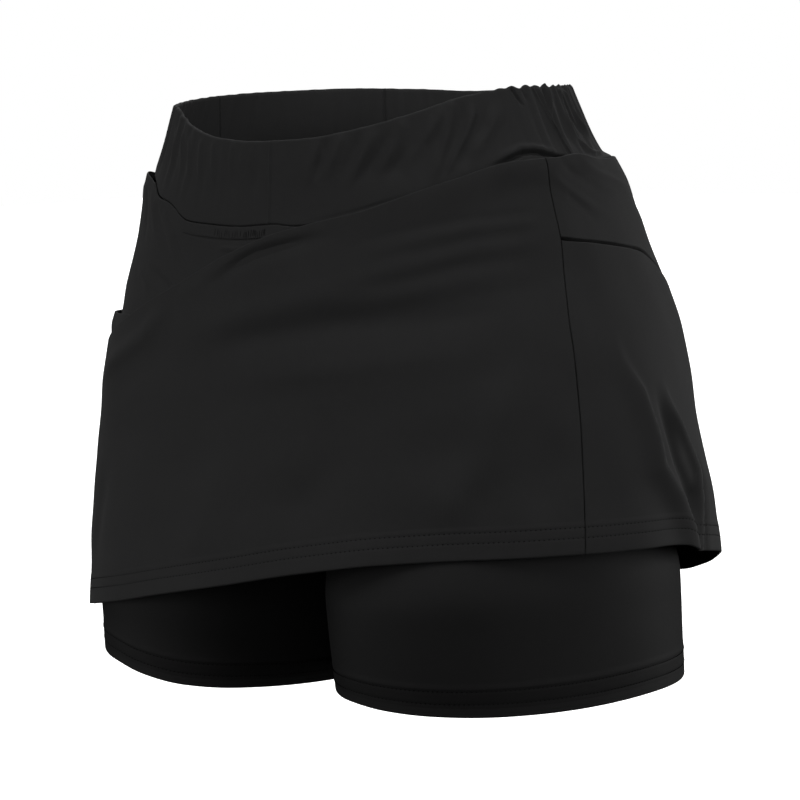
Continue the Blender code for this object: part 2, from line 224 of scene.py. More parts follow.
# ---------------------------------------------------------------- creases placed one by one
# Each crease is a path of (angle, millimetres of height). It rises or sinks by height and is
# width wide on one side and far_width on the other, all in millimetres. The fades are the shares
# of its length over which it starts and ends.
Crease = namedtuple("Crease", "height width far_width fade_in fade_out path")
BAND_CREASES = (
    # narrow pleats of the elastic at the right front
    Crease(0.9, 2.2, 3.0, 0.15, 0.6, ((-130, -16), (-127, -34), (-124, -50))),
    Crease(1.1, 2.0, 2.6, 0.15, 0.6, ((-124, -20), (-121, -36), (-119, -54))),
    Crease(1.3, 2.0, 2.8, 0.15, 0.6, ((-119, -22), (-116, -40), (-114, -56))),
    Crease(1.2, 2.2, 3.0, 0.15, 0.6, ((-112, -24), (-111, -40), (-109, -58))),
    Crease(1.2, 2.2, 3.2, 0.15, 0.6, ((-106, -25), (-105, -42), (-103, -60))),
    Crease(0.7, 2.4, 3.4, 0.15, 0.6, ((-98, -27), (-98, -42), (-96, -56))),
    Crease(0.6, 2.2, 3.2, 0.15, 0.6, ((-94, -27), (-94, -40), (-93, -52))),
    Crease(-0.8, 5.0, 5.0, 0.4, 0.5, ((-90, -34), (-90, -50), (-91, -68))),
    # slanting drag folds at the left front
    Crease(1.1, 3.5, 5.0, 0.3, 0.5, ((-71, -26), (-72, -38), (-75, -58))),
    Crease(-1.2, 4.0, 4.0, 0.3, 0.4, ((-68, -24), (-70, -36), (-73, -54))),
    Crease(1.3, 3.2, 5.0, 0.2, 0.5, ((-64, -22), (-66, -34), (-70, -54))),
    Crease(-1.0, 3.8, 3.8, 0.3, 0.4, ((-59, -22), (-62, -36), (-66, -54))),
    Crease(1.2, 3.4, 4.8, 0.2, 0.5, ((-55, -20), (-57, -29), (-62, -47), (-66, -62))),
    Crease(-1.2, 3.8, 3.8, 0.3, 0.4, ((-51, -20), (-55, -36), (-59, -47), (-63, -60))),
    Crease(1.2, 4.0, 5.0, 0.2, 0.4, ((-47, -14), (-50, -30), (-57, -50))),
    Crease(-1.2, 4.2, 4.2, 0.3, 0.3, ((-41, -14), (-44, -30), (-50, -41), (-57, -56))),
    Crease(1.7, 3.5, 4.5, 0.2, 0.3, ((-36, -6), (-39, -18), (-43, -28), (-52, -48))),
    Crease(1.7, 2.6, 4.0, 0.1, 0.3, ((-34, -5), (-35, -14), (-38, -30), (-43, -50), (-45, -60))),
    Crease(-1.2, 3.2, 3.2, 0.2, 0.2, ((-31, -6), (-32, -15), (-35, -28), (-40, -45), (-43, -58))),
    Crease(1.8, 2.2, 4.0, 0.2, 0.3, ((-28, -6), (-29, -15), (-33, -28), (-39, -45), (-43, -57))),
    Crease(-1.8, 3.5, 4.0, 0.3, 0.3, ((-24, -8), (-27, -22), (-33, -36), (-38, -49))),
    Crease(2.0, 4.0, 6.0, 0.3, 0.3, ((-19, -6), (-23, -18), (-28, -29), (-36, -44))),
    # the cloth swells over the free edge of the wrapped panel
    Crease(
        1.3, 1.8, 3.2, 0.3, 0.3,
        ((-28, -42), (-22, -38.2), (-19, -36), (-15, -35.8), (-11, -37.4), (-5, -39.2)),
    ),
    Crease(
        -4.6, 1.0, 1.3, 0.35, 0.12,
        ((-31, -47), (-27, -44.8), (-22, -41.3), (-19, -39.2), (-16, -38.9), (-13, -39.6), (-10, -41),
         (-6, -42.1), (-2, -42.4)),
    ),
    # the elastic is drawn in along the wrapped edge beside the centre front
    Crease(
        -0.7, 0.9, 0.9, 0.2, 0.4,
        ((-78, -77.6), (-72, -75.6), (-65, -71.8), (-61, -69.2), (-54, -64.2), (-48, -59.6)),
    ),
    # puckers of the elastic at the left side
    Crease(-1.7, 1.3, 2.0, 0.1, 0.5, ((-15, 0), (-14, -6), (-12, -13))),
    Crease(-0.7, 1.6, 2.0, 0.1, 0.5, ((-11, 0), (-10.5, -5), (-9, -9))),
    Crease(1.5, 0.9, 1.1, 0.05, 0.05, ((-4, 0), (-3.2, -11.3), (-2.8, -20.3), (-2, -30.5), (-1, -42))),
    Crease(1.3, 0.9, 1.1, 0.05, 0.25, ((2, 0), (0.3, -9.8), (-2.2, -20.5))),
    Crease(-0.9, 1.4, 1.6, 0.1, 0.4, ((-1, 0), (-1.4, -9), (-2.4, -17))),
    Crease(-0.8, 3.6, 3.6, 0.25, 0.25, ((4, -3), (3.4, -14), (2.8, -25), (3.6, -38))),
    Crease(
        2.0, 1.2, 2.4, 0.05, 0.1,
        ((9, 0), (8, -9.4), (7.6, -15.4), (6.8, -22.6), (7.2, -29.6), (9, -35), (13, -41)),
    ),
    Crease(-4.6, 1.5, 1.9, 0.15, 0.25, ((9.6, -3), (10.4, -12.5), (10.8, -18.5), (11.8, -23.1), (14, -28))),
    Crease(2.2, 1.4, 2.4, 0.1, 0.2, ((13, 0), (13.6, -12), (15, -22), (19, -35))),
    Crease(-1.6, 2.0, 2.4, 0.1, 0.4, ((18, 0), (19, -12), (22, -26))),
    # a tuck of the elastic's end that shows above the left yoke
    Crease(3.0, 1.8, 1.8, 0.35, 0.35, ((9, -42.5), (13, -41), (20, -42))),
)
WRAP_CREASES = (
    # soft trough close under the folded edge
    Crease(
        -2.8, 3.0, 5.0, 0.35, 0.45,
        ((-101, -119), (-98, -112), (-95, -105.8), (-92, -100.7), (-88, -96), (-84, -93), (-76, -88),
         (-66, -83)),
    ),
    Crease(0.9, 5.0, 5.0, 0.3, 0.4, ((-112, -124), (-104, -116), (-99, -104), (-92, -97))),
    # drag lines from the left seam
    Crease(-0.5, 2.6, 3.4, 0.5, 0.15, ((-72, -95), (-58, -86), (-48, -81), (-36, -77), (-18, -74))),
    Crease(0.4, 2.6, 3.0, 0.5, 0.15, ((-66, -96), (-48, -87), (-36, -82), (-17, -79))),
    Crease(-0.5, 2.6, 3.4, 0.5, 0.2, ((-70, -105), (-56, -98), (-38, -89), (-18, -85))),
    Crease(0.45, 3.0, 4.0, 0.5, 0.2, ((-72, -114), (-52, -104), (-36, -95), (-18, -91))),
    Crease(-0.5, 3.4, 4.0, 0.5, 0.2, ((-76, -122), (-54, -112), (-40, -104), (-19, -99))),
    Crease(0.4, 3.4, 4.0, 0.5, 0.3, ((-74, -129), (-54, -120), (-42, -113), (-24, -108))),
    Crease(-0.5, 4.0, 5.0, 0.5, 0.2, ((-74, -138), (-56, -129), (-40, -122), (-20, -117))),
    Crease(-1.8, 8.0, 8.0, 0.3, 0.3, ((-108, -158), (-87, -147), (-68, -138), (-45, -133), (-24, -127))),
    Crease(1.4, 8.0, 9.0, 0.3, 0.3, ((-104, -141), (-86, -130), (-70, -121), (-56, -116))),
    Crease(1.3, 9.0, 9.0, 0.3, 0.4, ((-98, -176), (-76, -166), (-56, -158), (-32, -152))),
    # folds that run down from the right hip
    Crease(2.6, 6.5, 8.5, 0.2, 0.4, ((-112, -126), (-119, -150), (-131, -168), (-142, -184))),
    Crease(-1.0, 10.0, 10.0, 0.3, 0.5, ((-104, -134), (-110, -154), (-122, -176), (-134, -198))),
    # broad soft swells down to the hem
    Crease(2.6, 12.0, 14.0, 0.4, 0.2, ((-29, -150), (-36, -183), (-41, -215), (-52, -262))),
    Crease(-1.6, 10.0, 10.0, 0.4, 0.3, ((-26, -190), (-28, -220), (-31, -258))),
    Crease(-1.6, 12.0, 12.0, 0.4, 0.3, ((-66, -196), (-72, -230), (-78, -262))),
    Crease(1.5, 12.0, 12.0, 0.4, 0.2, ((-88, -206), (-94, -240), (-99, -285))),
    Crease(-1.4, 10.0, 10.0, 0.4, 0.3, ((-128, -220), (-132, -260), (-134, -300))),
)
HIP_CREASES = (
    # the yoke and underlay drag down from the stepped seam at the right hip
    Crease(0.9, 3.0, 4.0, 0.1, 0.5, ((-147, -54), (-146, -66), (-144, -92))),
    Crease(-0.9, 2.6, 3.6, 0.15, 0.5, ((-141, -56), (-137, -70), (-132, -96))),
    Crease(0.5, 2.8, 3.6, 0.1, 0.4, ((-135, -58), (-130, -74), (-123, -96))),
    Crease(-0.8, 2.8, 3.4, 0.15, 0.4, ((-130, -64), (-126, -76), (-119, -94), (-114, -108))),
    Crease(0.5, 2.8, 3.4, 0.1, 0.4, ((-124, -70), (-119, -84), (-113, -100))),
    Crease(-0.8, 2.4, 3.4, 0.2, 0.4, ((-118, -84), (-113, -96), (-108, -108))),
    Crease(-1.5, 2.2, 3.6, 0.5, 0.1, ((-126, -105), (-120, -112), (-114, -119))),
    Crease(0.8, 3.0, 3.0, 0.4, 0.3, ((-134, -104), (-127, -114), (-122, -124))),
    Crease(
        -0.5, 0.8, 1.0, 0.15, 0.1,
        ((-114, -82.5), (-108, -85.4), (-102, -87), (-96, -87.6), (-90, -87.4), (-84, -86)),
    ),
    Crease(0.9, 1.4, 2.2, 0.3, 0.2, ((-101, -91.5), (-96, -92.4), (-92, -93), (-86, -91))),
    # and round the right side
    Crease(-1.0, 5.0, 6.0, 0.2, 0.5, ((-170, -56), (-168, -80), (-164, -112))),
    Crease(1.0, 5.0, 6.0, 0.2, 0.5, ((-160, -54), (-158, -76), (-156, -106))),
    Crease(0.9, 6.0, 7.0, 0.2, 0.5, ((158, -56), (160, -80), (166, -118))),
    Crease(-0.9, 6.0, 7.0, 0.2, 0.5, ((148, -54), (150, -78), (156, -120))),
    Crease(1.0, 6.0, 7.0, 0.2, 0.4, ((134, -56), (138, -84), (146, -128))),
)
LEFT_CREASES = (
    # drag lines of the left yoke, running down and back from the front seam
    Crease(-0.8, 3.0, 3.6, 0.15, 0.5, ((-11, -46), (-5, -54), (4, -63), (14, -71))),
    Crease(0.8, 2.8, 3.6, 0.15, 0.5, ((-4, -45), (5, -54), (19, -63), (28, -70))),
    Crease(0.7, 2.8, 3.6, 0.1, 0.5, ((-14, -54), (-6, -66), (2, -75), (10, -82))),
    Crease(-0.6, 3.0, 3.6, 0.15, 0.5, ((-10, -64), (-3, -75), (2, -84))),
    Crease(-0.8, 5.0, 6.0, 0.3, 0.4, ((24, -54), (32, -70), (42, -92))),
    Crease(0.8, 5.0, 6.0, 0.3, 0.4, ((34, -52), (42, -72), (52, -100))),
    # flare of the side panel: two ridges that run down to the hem, with a hollow between them
    Crease(
        5.4, 3.6, 11.0, 0.45, 0.0,
        ((-8, -140), (-6, -165), (-2, -184), (0, -207), (1, -229), (7, -251), (10, -270), (11, -292)),
    ),
    Crease(-3.6, 4.4, 4.4, 0.4, 0.2, ((3, -178), (5, -195), (7, -212), (9, -232), (13, -252), (14, -272))),
    Crease(
        4.2, 3.0, 5.0, 0.3, 0.1,
        ((6, -176), (9, -196), (13, -216), (17, -238), (17, -256), (14, -280), (13, -294)),
    ),
    Crease(-2.6, 3.5, 4.0, 0.4, 0.0, ((18, -226), (21, -250), (20, -272), (19, -296))),
    Crease(-2.2, 9.0, 9.0, 0.4, 0.1, ((34, -190), (38, -230), (43, -300))),
    Crease(1.6, 9.0, 9.0, 0.4, 0.1, ((50, -180), (50, -230), (52, -304))),
)
BACK_CREASES = (
    Crease(-1.0, 5.0, 7.0, 0.15, 0.5, ((66, -48), (70, -70), (78, -104))),
    Crease(1.0, 5.0, 7.0, 0.15, 0.5, ((74, -48), (78, -72), (86, -108))),
    Crease(-0.9, 5.0, 6.0, 0.15, 0.5, ((114, -48), (110, -72), (103, -104))),
    Crease(1.0, 5.0, 6.0, 0.15, 0.5, ((106, -48), (102, -70), (95, -98))),
    Crease(-1.0, 5.0, 6.0, 0.15, 0.5, ((86, -50), (88, -68), (90, -92))),
    Crease(0.9, 9.0, 9.0, 0.3, 0.4, ((56, -150), (74, -166), (94, -172), (112, -166))),
    Crease(-1.0, 9.0, 9.0, 0.3, 0.4, ((60, -172), (76, -188), (96, -194), (116, -186))),
    Crease(-2.0, 9.0, 10.0, 0.4, 0.1, ((86, -200), (88, -240), (88, -310))),
    Crease(1.5, 10.0, 9.0, 0.4, 0.1, ((122, -206), (124, -250), (124, -316))),
    Crease(-2.0, 9.0, 9.0, 0.4, 0.1, ((136, -210), (138, -250), (139, -322))),
    Crease(-2.2, 9.0, 9.0, 0.4, 0.1, ((172, -214), (166, -260), (166, -334))),
    Crease(1.4, 9.0, 9.0, 0.3, 0.4, ((150, -176), (170, -190), (196, -196))),
    Crease(-1.2, 8.0, 9.0, 0.3, 0.4, ((152, -160), (172, -170), (196, -176))),
    Crease(-1.4, 10.0, 9.0, 0.4, 0.1, ((196, -210), (198, -260), (200, -336))),
)
SKIRT_CREASES = HIP_CREASES + LEFT_CREASES + BACK_CREASES
GIRTH = 0.165


def ease(value):
    value = np.clip(value, 0.0, 1.0)
    return value * value * (3.0 - 2.0 * value)


def fade(value, full, none):
    """1 where the value has reached full, 0 where it has reached none, and soft in between."""
    return 1.0 - ease((value - full) / (none - full))


def mix(start, end, share):
    return start + (end - start) * share


def smooth(rows, column, at):
    """Value of a column at places between the rows of a table, with no overshoot."""
    keys = np.array([row[0] for row in rows], float)
    values = np.array([getattr(row, column) for row in rows], float)
    rises = np.diff(values) / np.diff(keys)
    product = rises[:-1] * rises[1:]
    total = np.where(product > 0.0, rises[:-1] + rises[1:], 1.0)
    slopes = np.concatenate((rises[:1], np.where(product > 0.0, 2.0 * product / total, 0.0), rises[-1:]))
    at = np.clip(at, keys[0], keys[-1])
    i = np.clip(np.searchsorted(keys, at, side="right") - 1, 0, len(keys) - 2)
    step = keys[i + 1] - keys[i]
    t = (at - keys[i]) / step
    bend = t * (1.0 - t) * step * ((1.0 - t) * slopes[i] - t * slopes[i + 1])
    return mix(values[i], values[i + 1], t * t * (3.0 - 2.0 * t)) + bend


def turned(angle):
    return (angle + 180.0) % 360.0 - 180.0


def level(column, angle):
    return smooth(ROUND_LEVELS, column, turned(angle))


def gentle(angle, height):
    """Slight unevenness that all worn cloth has, in metres."""
    turn = np.radians(angle)
    first = np.sin(9 * turn + 41 * height + 1.3) * np.sin(67 * height - 4 * turn + 0.7)
    second = np.sin(17 * turn - 73 * height + 0.4) * np.sin(109 * height + 7 * turn + 2.1)
    return 0.00045 * first + 0.00025 * second


def crease_lift(rows, angle, height):
    """How far a table of creases lifts the cloth, in metres."""
    total = np.zeros(np.shape(angle))
    for row in rows:
        first = row.path[0][0]
        around = np.radians(first + turned(angle - first)) * GIRTH
        path = [Vector((math.radians(a) * GIRTH, h / 1000.0)) for a, h in row.path]
        length = sum((b - a).length for a, b in zip(path, path[1:]))
        nearest = np.full(np.shape(angle), np.inf)
        beside = np.zeros(np.shape(angle))
        share = np.zeros(np.shape(angle))
        run = 0.0
        for a, b in zip(path, path[1:]):
            step = b - a
            t = ((around - a.x) * step.x + (height - a.y) * step.y) / step.length_squared
            t = np.clip(t, 0.0, 1.0)
            dx = around - a.x - t * step.x
            dy = height - a.y - t * step.y
            away = np.hypot(dx, dy)
            nearer = away < nearest
            nearest = np.where(nearer, away, nearest)
            beside = np.where(nearer, step.x * dy - step.y * dx, beside)
            share = np.where(nearer, (run + t * step.length) / length, share)
            run += step.length
        width = np.where(beside > 0.0, row.width, row.far_width) / 1000.0
        ends = np.ones(np.shape(angle))
        if row.fade_in:
            ends = ends * ease(share / row.fade_in)
        if row.fade_out:
            ends = ends * ease((1.0 - share) / row.fade_out)
        total += row.height / 1000.0 * ends * np.exp(-((nearest / width) ** 2))
    return total


def form_point(angle, height):
    drop = level("top", angle) - height
    across = np.cos(np.radians(angle))
    along = np.sin(np.radians(angle))
    depth = mix(smooth(FORM, "front", drop), smooth(FORM, "back", drop), ease(0.5 + along))
    grow = np.zeros(np.shape(angle))
    for fold in SKIRT_FOLDS:
        share = (drop - fold.start_drop) / (fold.end_drop - fold.start_drop)
        away = turned(angle - mix(fold.start_angle, fold.end_angle, share)) / fold.width
        grow += fold.height * ease(share) * np.exp(-away * away)
    half_width = smooth(FORM, "half_width", drop) + grow
    return np.stack((half_width * across, (depth + grow) * along, height * np.ones_like(depth)), axis=-1)


def unit(vectors):
    return vectors / np.linalg.norm(vectors, axis=-1, keepdims=True)


def lifted(angle, height, lift):
    """Points of the form, moved out along its normal."""
    beside = form_point(angle + 0.5, height) - form_point(angle - 0.5, height)
    above = form_point(angle, height + 0.001) - form_point(angle, height - 0.001)
    return form_point(angle, height) + unit(np.cross(beside, above)) * np.asarray(lift)[..., None]


def seam_height(angle):
    return level("seam", angle) + smooth(SEAM_STEPS, "height", turned(angle))


def under_band(angle):
    return seam_height(angle) - SEAM_GAP / 2


def hem(angle):
    return level("hem", angle)


def right_mouth(angle):
    return smooth(RIGHT_MOUTH, "height", angle % 360.0)


def drawn(rows, column):
    """The edge or seam that a table draws."""
    return lambda at: smooth(rows, column, at)


def fixed(value):
    return lambda at: value + 0.0 * at


wrap_edge = drawn(WRAP_EDGE, "height")
left_mouth = drawn(LEFT_MOUTH, "height")
left_yoke_top = drawn(LEFT_YOKE_TOP, "height")
left_front_seam = drawn(LEFT_FRONT_SEAM, "angle")
left_back_seam = drawn(LEFT_BACK_SEAM, "angle")
right_pocket_front = drawn(RIGHT_POCKET_FRONT, "angle")


def right_back_seam(drop):
    return 180.0 - left_back_seam(drop)


def left_yoke_bottom(angle):
    return left_mouth(angle) - YOKE_UNDERLAP


def right_yoke_bottom(angle):
    return right_mouth(angle) - YOKE_UNDERLAP


def underlay_bottom(angle):
    behind_wrap = np.minimum(wrap_edge(angle), under_band(angle)) - UNDERLAY_UNDERLAP
    return np.maximum(behind_wrap, right_yoke_bottom(angle))


# ---------------------------------------------------------------- how far each panel stands out


def no_lift(angle, height):
    return 0.0 * height


def skirt_relief(angle, height):
    return crease_lift(SKIRT_CREASES, angle, height) + gentle(angle, height)


def level_with_wrap(lift, angle, height):
    """The left side's panels are level with the wrapped panel where they join it."""
    return mix(lift, wrap_lift(0.0 * angle - 15.0, height), fade(angle, -14.0, -5.0))


def left_yoke_lift(angle, height):
    over_band = 0.0021 * fade(height, -0.056, -0.078) * fade(angle, 35.0, 55.0)
    stands_off = 0.0030 * fade(height, -0.043, -0.056) * fade(np.abs(angle + 3.0), 4.0, 15.0)
    # behind the mouth the yoke drops back, over a wider strip where the mouth runs down the side
    runs_down = fade(angle, 22.0, 10.0)
    reach = mix(mix(0.0020, 0.0033, ease((angle + 15.0) / 20.0)), 0.0062, runs_down)
    behind_mouth = -mix(0.0064, 0.0078, runs_down) * fade((height - left_mouth(angle)) / reach, 0.5, 1.0)
    return level_with_wrap(over_band + stands_off, angle, height) + behind_mouth


def left_mouth_lift(angle, height):
    """The mouth of the left pocket gapes a little and is sewn flat into the seams at its ends."""
    below = left_mouth(angle) - height
    from_seam = ease((angle + 15.5) / 5.0) * ease((57.0 - angle) / 8.0)
    gapes = 0.0016 * fade(below, 0.0, 0.026) * fade(angle, 8.0, 32.0)
    return level_with_wrap((0.0011 * fade(below, 0.036, 0.071) + gapes) * from_seam, angle, height)


def right_mouth_lift(angle, height):
    return 0.0021 * fade(right_mouth(angle) - height, 0.036, 0.071)


def hip_bump(angle, height):
    """The right pocket panel bulges where its mouth meets the wrapped panel's edge."""
    away = turned(angle + 149.0) / 7.0
    return right_mouth_lift(angle, height) + 0.0026 * np.exp(-away * away) * fade(
        right_mouth(angle) - height, 0.006, 0.020
    )


def right_yoke_lift(angle, height):
    """At the right hip the panel puffs out over the band's seam."""
    away = turned(angle + 146.0) / 9.0
    below = seam_height(angle) - height
    at_seam = 0.0024 * np.exp(-away * away) * fade(below, 0.004, 0.030)
    return at_seam + 0.0018 * np.exp(-((away / 2.0) ** 2)) * fade(below, 0.070, 0.095)


def wrap_lift(angle, height):
    below = wrap_edge(angle) - height
    over_underlay = 0.0021 * fade(below, 0.036, 0.070)
    over_right = mix(0.0021, 0.0043, fade(right_mouth(angle) - height, 0.040, 0.080))
    lift = np.maximum(over_underlay, over_right * fade(angle, -124.0, -98.0))
    stands_off = 0.0020 * fade(angle, -34.0, -60.0) * fade(below, 0.002, 0.022)
    gapes = 0.0022 * fade(np.abs(angle + 21.0), 3.0, 13.0) * fade(below, 0.001, 0.016)
    return lift + stands_off + gapes


def wrap_relief(angle, height):
    own = crease_lift(WRAP_CREASES, angle, height)
    shared = crease_lift(LEFT_CREASES + BACK_CREASES, angle, height)
    return own + shared + gentle(angle, height)


# ---------------------------------------------------------------- materials


class Field:
    """A value, colour or vector of a material, with arithmetic on values."""

    def __init__(self, tree, socket=None):
        self.tree = tree
        self.socket = socket

    def join(self, node, inputs):
        """Give a node's sockets their values or links."""
        for name, value in dict(inputs).items():
            if isinstance(value, Field):
                self.tree.links.new(value.socket, node.inputs[name])
            else:
                node.inputs[name].default_value = value

    def add(self, kind, settings=(), inputs=(), output=0):
        node = self.tree.nodes.new(kind)
        for name, value in dict(settings).items():
            setattr(node, name, value)
        self.join(node, inputs)
        return Field(self.tree, node.outputs[output])

    def axes(self):
        """The X, Y and Z values of a vector."""
        node = self.tree.nodes.new("ShaderNodeSeparateXYZ")
        self.join(node, {0: self})
        return [Field(self.tree, output) for output in node.outputs]

    def maths(self, operation, first, second=0.0):
        return self.add("ShaderNodeMath", {"operation": operation}, {0: first, 1: second})

    def __add__(self, other):
        return self.maths("ADD", self, other)

    __radd__ = __add__

    def __mul__(self, other):
        return self.maths("MULTIPLY", self, other)

    __rmul__ = __mul__

    def __sub__(self, other):
        return self.maths("SUBTRACT", self, other)

    def __rsub__(self, other):
        return self.maths("SUBTRACT", other, self)

    def sine(self):
        return self.maths("SINE", self)


def noise(field, at, scale, detail=2.0):
    return field.add(
        "ShaderNodeTexNoise",
        inputs={"Vector": at, "Scale": scale, "Detail": detail, "Roughness": 0.55},
    )


def tinted(field, tint, tone):
    """A colour that a value makes lighter or darker over the surface."""
    return field.add(
        "ShaderNodeMix",
        {"data_type": "RGBA", "blend_type": "MULTIPLY"},
        {"Factor": 1.0, 6: (*tint, 1.0), 7: tone},
        output=2,
    )


def new_material(name):
    """A material with its shader, and a field that adds nodes to it."""
    made = bpy.data.materials.new(name)
    made.use_nodes = True
    return made, made.node_tree.nodes["Principled BSDF"], Field(made.node_tree)


def knit(name, shade, roughness, wale, course, relief, sheen, shaded_hem_strip=None):
    """A fine knit: wales run down the cloth, courses across it, on the cloth's own map in metres.

    The shaded hem strip lies between two heights of that map, over the stitched hem; its colour is darkened
    there as painted shade.
    """
    made, shader, field = new_material(name)
    cloth_map = field.add("ShaderNodeUVMap", {"uv_map": "cloth"})
    place = field.add("ShaderNodeTexCoord", output=3)
    around, down, _ = cloth_map.axes()
    wander = noise(field, cloth_map, 60.0) * 0.0012
    wales = ((around + wander) * (2.0 * math.pi / wale)).sine()
    courses = (down * (2.0 * math.pi / course) + wales * 1.2).sine()
    fuzz = noise(field, place, 1400.0, 3.0)
    stretch = noise(field, place, 22.0, 3.0)
    blotch = noise(field, place, 160.0, 3.0)
    height = wales * 0.5 + courses * 0.3 + fuzz * 0.9
    bump = field.add("ShaderNodeBump", inputs={"Strength": 0.5, "Distance": relief, "Height": height})
    tone = stretch * 0.16 + blotch * 0.12 + fuzz * 0.22 + wales * 0.03 + courses * 0.02 + 0.75
    # painted shade: the hem strip's colour is made about a third darker
    if shaded_hem_strip:
        high, low = shaded_hem_strip
        strip = field.maths("LESS_THAN", down, high) * field.maths("GREATER_THAN", down, low)
        tone = tone * (1.0 - strip * 0.32)
    looks = {
        "Base Color": tinted(field, (shade, shade, shade * 1.01), tone),
        "Roughness": fuzz * 0.2 + (roughness - 0.1),
        "Normal": bump,
        "Sheen Weight": sheen,
        "Sheen Roughness": 0.4,
        "Specular IOR Level": 0.07,
    }
    field.join(shader, looks)
    return made


def thread(name, shade):
    """Twisted sewing thread."""
    made, shader, field = new_material(name)
    place = field.add("ShaderNodeTexCoord", output=3)
    fibres = noise(field, place, 2600.0)
    bump = field.add("ShaderNodeBump", inputs={"Strength": 0.5, "Distance": 0.00005, "Height": fibres})
    looks = {
        "Base Color": tinted(field, (shade, shade, shade), fibres * 0.5 + 0.75),
        "Normal": bump,
        "Roughness": 0.8,
        "Specular IOR Level": 0.04,
    }
    field.join(shader, looks)
    return made


OUTER_KNIT = knit("outer_knit_looks", 0.0152, 0.66, 0.0007, 0.0006, 0.00006, 0.03)
BAND_KNIT = knit("band_knit_looks", 0.0152, 0.68, 0.0007, 0.0006, 0.00006, 0.03)
# the shorts' hem strip between its stitch rows gets painted shade
SHORTS_KNIT = knit(
    "shorts_knit_looks", 0.0084, 0.62, 0.0006, 0.0005, 0.00005, 0.005, shaded_hem_strip=(-0.3165, -0.3255)
)
# the threads are black, and their colour is made far darker than the cloth's as painted shade of the stitch
# holes
OUTER_THREAD = thread("outer_thread", 0.0014)
SHORTS_THREAD = thread("shorts_thread", 0.0010)

# ---------------------------------------------------------------- cloth


CLOSE_STEPS = np.array((-0.0014, -0.0009, -0.0005, -0.0002, 0.0, 0.0002, 0.0005, 0.0009, 0.0014))
CLOSEST_STEP = 0.00012
# rows round a folded edge, as lengths of cloth from where the fold starts
FOLD_ROWS = FOLD_RADIUS * math.pi * np.array((0.12, 0.25, 0.37, 0.5, 0.62, 0.75, 0.87, 1.0))


def spread(start, end, spacing, fine=()):
    """Places from start to end, evenly spaced, with closer ones round each fine place."""
    even = np.linspace(start, end, max(1, round((end - start) / spacing)) + 1)
    places = np.concatenate([even] + [CLOSE_STEPS + middle for middle in fine])
    places = np.sort(places[(places >= start) & (places <= end)])
    keep = np.concatenate(([True], np.diff(places) > CLOSEST_STEP))
    kept = places[keep]
    kept[-1] = end
    return kept


def turn_in(height, past, radius, way):
    """Height and lift of cloth that runs on past an edge, folds over and goes back inside."""
    angle = np.minimum(past / radius, math.pi)
    back = np.maximum(past - math.pi * radius, 0.0)
    return height + way * (radius * np.sin(angle) - back), -radius * (1.0 - np.cos(angle))


def shoulder(distance, radius):
    """How far the cloth's edge is drawn into a seam."""
    near = radius - np.clip(distance, 0.0, radius)
    return radius - np.sqrt(radius * radius - near * near)


def cloth_piece(name, across, down, place, wall, finish, weld=False):
    """A piece of cloth: a grid with these places across and down, laid by place(u, v)."""
    columns, rows = len(across) - 1, len(down) - 1
    grid = bmesh.new()
    bmesh.ops.create_grid(grid, x_segments=columns, y_segments=rows, size=0.5)
    at = np.array([vertex.co[:2] for vertex in grid.verts])
    u = np.interp((at[:, 0] + 0.5) * columns, np.arange(columns + 1), across)
    v = np.interp((0.5 - at[:, 1]) * rows, np.arange(rows + 1), down)
    points, cloth_map = place(u, v)
    for vertex, point in zip(grid.verts, points.tolist()):
        vertex.co = point
    mesh = bpy.data.meshes.new(name)
    grid.to_mesh(mesh)
    grid.free()
    layer = mesh.uv_layers.new(name="cloth")
    corners = np.zeros(len(mesh.loops), int)
    mesh.loops.foreach_get("vertex_index", corners)
    layer.data.foreach_set("uv", cloth_map[corners].astype(np.float32).ravel())
    if weld:
        joined = bmesh.new()
        joined.from_mesh(mesh)
        bmesh.ops.remove_doubles(joined, verts=joined.verts, dist=0.00002)
        joined.to_mesh(mesh)
        joined.free()
    mesh.materials.append(finish)
    mesh.shade_smooth()
    piece = new_object(name, mesh)
    modifier = piece.modifiers.new("cloth_wall", "SOLIDIFY")
    modifier.thickness = wall
    modifier.offset = -1.0
    modifier.use_even_offset = False
    return piece


# The flat cloth, in metres and square metres, and how it is held
Cut = namedtuple("Cut", "width length area held")


def dress(piece, node):
    """A finished piece of cloth stands for its CAD node."""
    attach(piece, "root")
    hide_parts(node)


# ---------------------------------------------------------------- waistband

# Each band runs between two angles. A lean is how far the seam there moves over at the top edge.
Band = namedtuple("Band", "name start start_lean end end_lean spacing cut")
BANDS = (
    Band("waistband_front_left", -85, 0, 0, -6, 0.0007, Cut(0.228, 0.104, 0.0224, "gathered")),
    Band("waistband_front_right", -190, 10, -85, 0, 0.0013, Cut(0.276, 0.104, 0.0270, "gathered")),
    Band("waistband_back_left", 0, -6, 60, 0, 0.0009, Cut(0.165, 0.098, 0.0155, "gathered")),
    Band("waistband_back_centre", 60, 0, 120, 0, 0.0012, Cut(0.165, 0.098, 0.0155, "gathered")),
    Band("waistband_back_right", 120, 0, 170, 10, 0.0012, Cut(0.140, 0.098, 0.0131, "gathered")),
)
BAND_RADIUS = 0.130
BAND_OUTSIDE = 0.050
BAND_INSIDE = 0.046
BAND_MAP_RADIUS = 0.15


def gathers(angle, share):
    """Fine ripple of the elastic where no single fold is placed."""
    upright = angle + 2.0 * np.sin(np.radians(3.0 * angle)) + 1.1 * np.sin(np.radians(7.0 * angle))
    ripple = np.sin(np.radians(upright * 64.0)) + 0.5 * np.sin(np.radians(upright * 101.0 + 40.0))
    front = fade(np.abs(turned(angle + 65.0)), 40.0, 70.0)
    strength = mix(0.00055, 0.00010, front)
    strength = mix(strength, 0.00035, fade(np.abs(turned(angle - 110.0)), 60.0, 80.0))
    return strength * ripple * fade(share, 0.55, 1.0)


